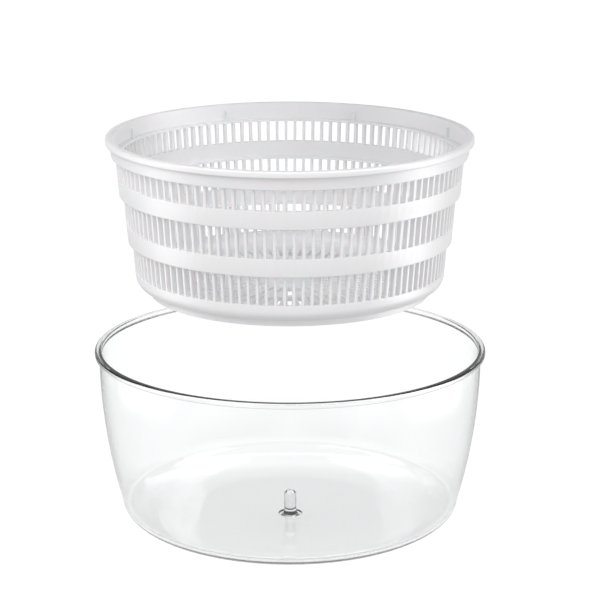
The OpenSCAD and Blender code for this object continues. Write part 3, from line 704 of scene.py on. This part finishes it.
def makeLidWell():
    # a cup for the button, with a guide for its stem and a seat for its spring
    w = brakeSize
    wellR, wellLow, guideTop = w["wellR"], w["wellLow"], w["guideTop"]
    outR = wellR + w["wellWall"]
    outline = soften([(outR, wellLow, 0.5), (outR, w["wellTop"], 1.0), (wellR, w["wellTop"], 0.9),
                      (wellR, guideTop, 0.5), (w["springSeatR"], guideTop, 0.3),
                      (w["springSeatR"], w["springSeat"]), (w["guideBore"], w["springSeat"]),
                      (w["guideBore"], w["guideLow"], 0.3), (w["guideR"], w["guideLow"], 0.6),
                      (w["guideR"], w["wellFloor"], 0.6), (wellR, w["wellFloor"], 0.6),
                      (wellR, wellLow, 0.5)])
    return revolved(outline, 96, brakePlace)


def makeScrewBosses():
    d = lidSize
    ceiling = d["top"] - d["wall"] + 0.5
    drilled = d["bossLow"] + 8
    outline = soften([(d["bossR"], d["bossLow"], 0.4), (d["bossR"], ceiling), (0, ceiling), (0, drilled),
                      (d["screwR"], drilled), (d["screwR"], d["bossLow"], 0.3)])
    turns = [radians(45 + 90 * i) for i in range(4)]
    return [revolved(outline, 48, (d["screwCircleR"] * cos(a), d["screwCircleR"] * sin(a), 0)) for a in turns]


def makeLidShell():
    d = lidSize
    rimR, flangeLow, flangeTop = d["rimR"], d["flangeLow"], d["flangeTop"]
    skirtInR = rimR - d["skirtWidth"]
    spigotInR = d["spigotR"] - d["spigotWidth"]
    ceiling = d["top"] - d["wall"]
    outline = [(d["hubBore"], d["top"], 0.5)] + domeOutline()
    outline += [(rimR, flangeTop, 2.0), (rimR, d["skirtLow"], 0.8), (skirtInR, d["skirtLow"], 0.6),
                (skirtInR, flangeLow, 0.5), (d["sealOutR"], flangeLow), (d["sealOutR"], d["sealTop"]),
                (d["sealInR"], d["sealTop"]), (d["sealInR"], flangeLow), (d["spigotR"], flangeLow, 0.4),
                (d["spigotR"], d["spigotLow"], 0.9), (spigotInR, d["spigotLow"], 0.8),
                (spigotInR, flangeTop - d["wall"], 0.6)]
    outline += reversed(domeOutline(d["wall"]))
    outline += [(d["hubR"], ceiling, 0.5), (d["hubR"], d["hubLow"], 0.4), (d["hubBore"], d["hubLow"], 0.3)]
    hole = drill(brakeSize["wellR"] + 1, 1, 25, brakePlace)
    shell = joined(cutAway(revolved(soften(outline), 192), hole), makeLidWell(), *makeScrewBosses())
    finishPiece("lidShell", shell, whitePlastic, "lid", "lid_shell", lift=lidZ)


def makeLidSeal():
    # soft ring with a groove between its two lips
    d = lidSize
    low, top, inR, outR = sealGap, d["sealTop"], d["sealInR"], d["sealOutR"]
    groove = low + 0.5
    outline = soften([(inR, low, 0.5), (inR + 1.7, low, 0.3), (inR + 2.0, groove, 0.2),
                      (outR - 2.0, groove, 0.2), (outR - 1.7, low, 0.3), (outR, low, 0.5),
                      (outR, top, 0.4), (inR, top, 0.4)])
    finishPiece("lidSeal", revolved(outline, 192), silicone, "lid", "lid_seal", lift=lidZ)


makeLidShell()
makeLidSeal()


# drive disc: a thin plate with a notched skirt that turns the basket by its lugs

discSize = {
    "r": 119.0,
    "low": -6.0,
    "top": -3.5,
    "skirtR": 113.4,
    "skirtWidth": 2.2,
    "skirtLow": -15.8,
    "notches": 8,
    "notchWidth": 4.2,
    "hubR": 11.0,
    "hubLow": -9.5,
    "screwBore": 1.7,
    "shaftSide": 7.0,
    "shaftLow": -7.7,
    "ribs": 12,
    "ribWidth": 1.6,
    "ribHeight": 4.0,
}


def makeDriveDisc():
    d = discSize
    skirtR, skirtLow, low, top = d["skirtR"], d["skirtLow"], d["low"], d["top"]
    skirtInR = skirtR - d["skirtWidth"]
    outline = soften([(d["screwBore"], d["hubLow"]), (d["hubR"], d["hubLow"], 0.8), (d["hubR"], low, 0.5),
                      (skirtInR, low, 0.8), (skirtInR, skirtLow, 0.7), (skirtR, skirtLow, 0.7),
                      (skirtR, low, 0.8), (d["r"], low, 0.8), (d["r"], top, 0.8), (d["screwBore"], top)])
    cuts = bmesh.new()
    half = d["notchWidth"] / 2
    for i in range(d["notches"]):
        addBox(cuts, (skirtR - 4, -half, skirtLow - 1), (skirtR + 4, half, low - 0.1),
               turn=360 * (i + 0.5) / d["notches"])
    half = d["shaftSide"] / 2
    addBox(cuts, (-half, -half, d["shaftLow"]), (half, half, top + 1))
    ribs = bmesh.new()
    half = d["ribWidth"] / 2
    for i in range(d["ribs"]):
        addBox(ribs, (d["hubR"] - 1, -half, low - d["ribHeight"]), (skirtInR + 1, half, low + 1),
               turn=360 * i / d["ribs"], edge=0.3)
    disc = joined(cutAway(revolved(outline, 192), cuts), ribs)
    finishPiece("driveDisc", disc, whitePlastic, "drive", "drive_disc", lift=lidZ)


makeDriveDisc()


# crank: a tapered hollow arm, its caps, and a turned knob

crankSize = {
    "reach": 52.0,
    "low": 22.2,
    "top": 31.2,
    "hubR": 19.0,
    "endR": 12.0,
    "shell": 2.2,
    "roof": 2.8,
    "hubPostR": 11.5,
    "endPostR": 8.5,
    "socketSide": 10.1,
    "socketTop": 26.7,
    "capSeat": 28.1,
    "capR": 9.0,
    "capLow": 30.4,
    "capTop": 32.0,
    "capPlay": 0.05,
    "pinR": 3.0,
    "screwR": 1.7,
    "knobR": 15.0,
    "knobLow": 31.8,
    "knobHeight": 34.0,
    "knobWaist": 0.72,
    "crownTurn": 62,
    "knobBore": 3.08,
    "counterbore": 28.2,
    "knobCapR": 5.6,
    "knobCapThickness": 1.6,
    "knobCapPlay": 0.03,
}


def armOutline(bm, inset, z, steps=40):
    # two circles and the straight sides that touch them, as one face
    c = crankSize
    hubR, endR, reach = c["hubR"] - inset, c["endR"] - inset, c["reach"]
    touch = acos((hubR - endR) / reach)
    loop = []
    for radius, x, start, sweep in ((hubR, 0, touch, 2 * pi - 2 * touch), (endR, reach, -touch, 2 * touch)):
        for i in range(steps + 1):
            a = start + sweep * i / steps
            loop.append(bm.verts.new((x + radius * cos(a), radius * sin(a), z)))
    return bm.faces.new(loop)


def easeRim(bm, z, width, segments):
    easeEdges(bm, [e for e in bm.edges if all(abs(v.co.z - z) < 0.01 for v in e.verts)], width, segments)


def makeCrankArm():
    # a shell, open below, round a post at each end
    c = crankSize
    low, top, end = c["low"], c["top"], (c["reach"], 0, 0)
    ceiling = top - c["roof"]
    arm = bmesh.new()
    raised(arm, [armOutline(arm, 0, low)], top - low)
    easeRim(arm, top, 2.6, 5)
    easeRim(arm, low, 0.5, 2)
    hollow = bmesh.new()
    raised(hollow, [armOutline(hollow, c["shell"], low - 1)], ceiling - low + 1)
    hollow = cutAway(hollow, drill(c["hubPostR"], low - 2, ceiling + 1))
    hollow = cutAway(hollow, drill(c["endPostR"], low - 2, ceiling + 1, end))
    half = c["socketSide"] / 2
    socket = bmesh.new()
    addBox(socket, (-half, -half, low - 1), (half, half, c["socketTop"]))
    arm = cutAway(arm, hollow)
    arm = cutAway(arm, socket, drill(c["pinR"], low - 1, top + 1, end))
    arm = cutAway(arm, drill(c["screwR"], c["socketTop"] - 1, top + 1))
    arm = cutAway(arm, drill(c["capR"] + c["capPlay"], c["capSeat"], top + 1))
    finishPiece("crankArm", arm, whitePlastic, "crank", "crank_arm", lift=lidZ)


def makeCrankCap():
    c = crankSize
    capR, low, top = c["capR"], c["capLow"], c["capTop"]
    outline = soften([(0, low), (capR, low, 0.2), (capR, c["top"] + 0.1, 0.3),
                      (capR - 1.2, top, 0.9), (0, top)], 5)
    finishPiece("crankCap", revolved(outline, 96), greyPlastic, "crank",
                "crank_cap", lift=lidZ)


def makeKnobCap():
    c = crankSize
    top = c["knobLow"] + c["knobHeight"]
    low = top - c["knobCapThickness"]
    capR = c["knobCapR"] - c["knobCapPlay"]
    outline = soften([(0, low), (capR, low, 0.2), (capR, top, 0.5), (0, top)], 5)
    finishPiece("knobCap", revolved(outline, 72, (c["reach"], 0, 0)), greyPlastic, "knob",
                "knob_cap", lift=lidZ)


def makeKnob():
    # a waist below and a round crown above
    c = crankSize
    waist, crown, steps = c["knobWaist"], c["crownTurn"], 40
    bore, low = c["knobBore"], c["knobLow"]
    bored = low + c["counterbore"]
    side = []
    for i in range(steps + 1):
        t = i / steps
        if t < waist:
            share = waist + (1 - waist) * (1 - cos(radians(180 * t / waist))) / 2
        else:
            share = cos(radians(crown * (t - waist) / (1 - waist)))
        side.append((c["knobR"] * share, low + c["knobHeight"] * t))
    side[0] = (*side[0], 0.6)
    side[-1] = (*side[-1], 0.5)
    outline = soften([(bore, low, 0.3)] + side + [(c["knobCapR"], side[-1][1], 0.3), (c["knobCapR"], bored),
                                                  (bore, bored)])
    finishPiece("crankKnob", revolved(outline, 96, (c["reach"], 0, 0)), greyPlastic, "knob",
                "crank_knob", lift=lidZ)


makeCrankArm()
makeCrankCap()
makeKnobCap()
makeKnob()


def makeBrakeButton():
    # a dished cap on a stem, with a stud hole in its foot for the pad
    w = brakeSize
    capR, capTop, seat, low = w["capR"], w["capTop"], w["springTop"], w["stemLow"]
    skirtInR = capR - w["capWall"]
    dishR, dishLow = capR - 2.8, capTop - w["dish"]
    outline = [(w["studR"], low, 0.2), (w["stemR"], low, 0.5), (w["stemR"], seat, 0.3), (skirtInR, seat, 0.3),
               (skirtInR, w["capLow"], 0.3), (capR, w["capLow"], 0.4), (capR, capTop, 1.6),
               (capR - 2.4, capTop, 1.0)]
    outline += [(dishR * (1 - i / 8), capTop - w["dish"] * sin(radians(90 * i / 8))) for i in range(1, 8)]
    outline += [(0, dishLow), (0, low + w["studHeight"]), (w["studR"], low + w["studHeight"])]
    finishPiece("brakeButton", revolved(soften(outline, 4), 96, brakePlace), greyPlastic, "brake",
                "brake_button", lift=lidZ)


def makeBrakeSpring():
    # round wire wound up from its seat in the lid to just under the button
    w = brakeSize
    wireR = w["springWire"] / 2
    low = w["springSeat"] + wireR
    rise = w["springTop"] - w["springPlay"] - wireR - low
    steps = 24 * w["springTurns"]
    bm = bmesh.new()
    wire = bmesh.ops.create_circle(bm, segments=12, radius=wireR)["verts"]
    bmesh.ops.rotate(bm, verts=wire, cent=(0, 0, 0), matrix=Matrix.Rotation(pi / 2, 3, "X"))
    bmesh.ops.translate(bm, verts=wire, vec=(w["springR"], -w["fromCentre"], low))
    bmesh.ops.spin(bm, geom=bm.verts[:] + bm.edges[:], cent=brakePlace, axis=(0, 0, 1),
                   dvec=(0, 0, rise / steps), angle=2 * pi * w["springTurns"], steps=steps, use_merge=False)
    bmesh.ops.holes_fill(bm, edges=[e for e in bm.edges if e.is_boundary], sides=12)
    bmesh.ops.recalc_face_normals(bm, faces=bm.faces)
    spring = finishPiece("brakeSpring", bm, platedSteel, "lid", "brake_spring", lift=lidZ, sharp=60)
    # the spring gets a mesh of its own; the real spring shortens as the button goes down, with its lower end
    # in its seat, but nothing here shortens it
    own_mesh(spring)


makeBrakeButton()
makeBrakeSpring()


# the working parts inside keep their solids and get their finish

insideFinish = {
    gearNylon: ["pivot_bearing", "planet_gear_1", "planet_gear_2", "planet_gear_3", "sun_gear", "ring_gear",
                "thrust_washer"],
    platedSteel: ["bearing_washer", "bearing_screw", "gear_plate_screws", "planet_pins", "drive_disc_screw",
                  "crank_screw", "knob_pin"],
    whitePlastic: ["gear_plate"],
    silicone: ["brake_pad"],
}
for material, names in insideFinish.items():
    for name in names:
        for place in nodes[name].material_slots:
            place.material = material
print("finished", sum(len(names) for names in insideFinish.values()), "inside parts")


# the studio: a pale floor, soft lamps and a bright surround

softBoxes = {
    # brightness by bearing: 0 is straight behind the camera, 1 straight ahead of it
    "levels": {0.0: 0.1, 0.22: 0.1, 0.4: 1.0, 0.52: 1.0, 0.7: 0.08, 0.9: 0.0, 1.0: 0.0},
    "strength": 5.15,
    "rightMore": 1.35,
    "dimmed": 0.4,
}


def sideGlow(tree, direction, path, reach, dimmed):
    # what gloss alone shows: an upright soft box at each side, the right one stronger, and a dimmer rest
    axes = tree.nodes.new("ShaderNodeSeparateXYZ")
    feed(tree, axes.inputs["Vector"], direction)
    bearing = mathNode(tree, "ADD", mathNode(tree, "MULTIPLY", axes.outputs["Y"], 0.5), 0.5)
    levels = {place: grey(level) for place, level in softBoxes["levels"].items()}
    boxes = rampNode(tree, bearing, levels, "EASE")
    toTheRight = mathNode(tree, "MULTIPLY", axes.outputs["X"], softBoxes["rightMore"])
    strength = mathNode(tree, "ADD", toTheRight, softBoxes["strength"])
    boxes = mathNode(tree, "MULTIPLY", mathNode(tree, "MULTIPLY", boxes, strength), reach)
    # light bent by clear plastic counts as glossy too, so it is left out
    reflected = mathNode(tree, "SUBTRACT", path["Is Glossy Ray"], path["Is Transmission Ray"])
    reflected = mathNode(tree, "MAXIMUM", reflected, 0.0)
    return mathNode(tree, "MULTIPLY", mathNode(tree, "SUBTRACT", boxes, dimmed), reflected)


floorLook = {
    "radius": 14.0,
    "gap": 0.4 * mm,
    "glow": 0.44,
    "seenMore": 0.53,
    # the distances over which the soft boxes, and the dimmer rest, come in round the bowl
    "boxesFrom": (0.3, 0.5),
    "dimmedFrom": (0.1, 0.16),
}


def makeFloor():
    # lit partly by the studio and partly from below, as a light table is, so that shadows stay faint
    bm = bmesh.new()
    bmesh.ops.create_circle(bm, cap_ends=True, segments=96, radius=floorLook["radius"])
    bmesh.ops.translate(bm, verts=bm.verts, vec=(0, 0, -floorLook["gap"]))
    mesh = bpy.data.meshes.new("floor")
    bm.to_mesh(mesh)
    bm.free()
    floor = bpy.data.objects.new("floor", mesh)
    bpy.context.scene.collection.objects.link(floor)
    material, tree, shader = newMaterial("paleFloor", (0.1, 0.1, 0.1), Roughness=0.8, Specular_IOR_Level=0.0)
    path = tree.nodes.new("ShaderNodeLightPath").outputs
    place = tree.nodes.new("ShaderNodeTexCoord").outputs["Object"]
    outward = tree.nodes.new("ShaderNodeVectorMath")
    outward.operation = "NORMALIZE"
    feed(tree, outward.inputs[0], place)
    far = tree.nodes.new("ShaderNodeVectorMath")
    far.operation = "LENGTH"
    feed(tree, far.inputs[0], place)
    distance = far.outputs["Value"]
    seen = mathNode(tree, "SUBTRACT", 1.0, path["Is Diffuse Ray"])
    glow = mathNode(tree, "ADD", mathNode(tree, "MULTIPLY", seen, floorLook["seenMore"]), floorLook["glow"])
    # the soft boxes stand clear of the bowl, so its low sides keep their grey edge
    reach = rangeNode(tree, distance, *floorLook["boxesFrom"])
    beyond = rangeNode(tree, distance, *floorLook["dimmedFrom"])
    dimmed = mathNode(tree, "MULTIPLY", beyond, softBoxes["dimmed"])
    glow = mathNode(tree, "ADD", glow, sideGlow(tree, outward.outputs["Vector"], path, reach, dimmed))
    shader.inputs["Emission Color"].default_value = grey(1)
    feed(tree, shader.inputs["Emission Strength"], glow)
    mesh.materials.append(material)


surroundLook = {
    "sky": 1.12,
    "skyFall": 0.68,
    # what clear plastic shows by height: 0 is level and 1 is straight up
    "belt": {0.0: 1.0, 0.04: 1.0, 0.16: 0.0, 0.62: 0.0, 0.8: 1.1, 1.0: 1.1},
    "beltAhead": 0.4,
    "beltFall": 1.2,
}


def makeWorld():
    # white to the camera, a soft even light on the object, and a dark belt that only bent light meets
    look = surroundLook
    world = bpy.data.worlds.new("surround")
    bpy.context.scene.world = world
    world.use_nodes = True
    tree = world.node_tree
    path = tree.nodes.new("ShaderNodeLightPath").outputs
    direction = tree.nodes.new("ShaderNodeTexCoord").outputs["Generated"]
    axes = tree.nodes.new("ShaderNodeSeparateXYZ")
    feed(tree, axes.inputs["Vector"], direction)
    fall = mathNode(tree, "MULTIPLY", axes.outputs["Z"], look["skyFall"])
    sky = mathNode(tree, "SUBTRACT", look["sky"], fall)
    light = mathNode(tree, "ADD", sky, sideGlow(tree, direction, path, 1.0, softBoxes["dimmed"]))
    # the belt is paler straight ahead and behind than at the sides
    levels = {place: grey(level) for place, level in look["belt"].items()}
    belt = rampNode(tree, axes.outputs["Z"], levels)
    across = mathNode(tree, "ABSOLUTE", axes.outputs["X"], 0.0)
    fall = mathNode(tree, "MULTIPLY", across, look["beltFall"])
    paler = mathNode(tree, "SUBTRACT", look["beltAhead"], fall)
    light = mixNode(tree, path["Is Transmission Ray"], light, mathNode(tree, "MAXIMUM", belt, paler))
    light = mixNode(tree, path["Is Camera Ray"], light, grey(1))
    feed(tree, tree.nodes["Background"].inputs["Color"], light)


lamps = {
    "key": {"place": (-1.0, -1.2, 1.5), "side": 1.0, "watts": 13},
    "fill": {"place": (1.4, -0.6, 0.9), "side": 1.2, "watts": 5},
}
lampAim = Vector((0, 0, 0.2))


def makeLamp(name, look):
    light = bpy.data.lights.new(name, "AREA")
    light.size = look["side"]
    light.energy = look["watts"]
    lamp = bpy.data.objects.new(name, light)
    bpy.context.scene.collection.objects.link(lamp)
    lamp.location = look["place"]
    lamp.rotation_euler = (lampAim - Vector(look["place"])).to_track_quat("-Z", "Y").to_euler()
    lamp.visible_camera = False


cameraView = {
    # metres, degrees and, for the lens and its sensor, millimetres
    "side": 0.0066,
    "distance": 1.4954,
    "aboveRim": 0.4347,
    "pitch": 15.1,
    "lens": 140.4,
    "sensor": 36,
}


def makeCamera():
    view = cameraView
    data = bpy.data.cameras.new("camera")
    data.lens = view["lens"]
    data.sensor_width = view["sensor"]
    camera = bpy.data.objects.new("camera", data)
    bpy.context.scene.collection.objects.link(camera)
    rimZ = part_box("bowl")[1].z
    camera.location = (view["side"], -view["distance"], rimZ + view["aboveRim"])
    camera.rotation_euler = (radians(90 - view["pitch"]), 0, 0)
    bpy.context.scene.camera = camera


makeFloor()
makeWorld()
for name, look in lamps.items():
    makeLamp(name, look)
makeCamera()
bpy.context.scene.view_settings.view_transform = "Standard"
print("studio ready")
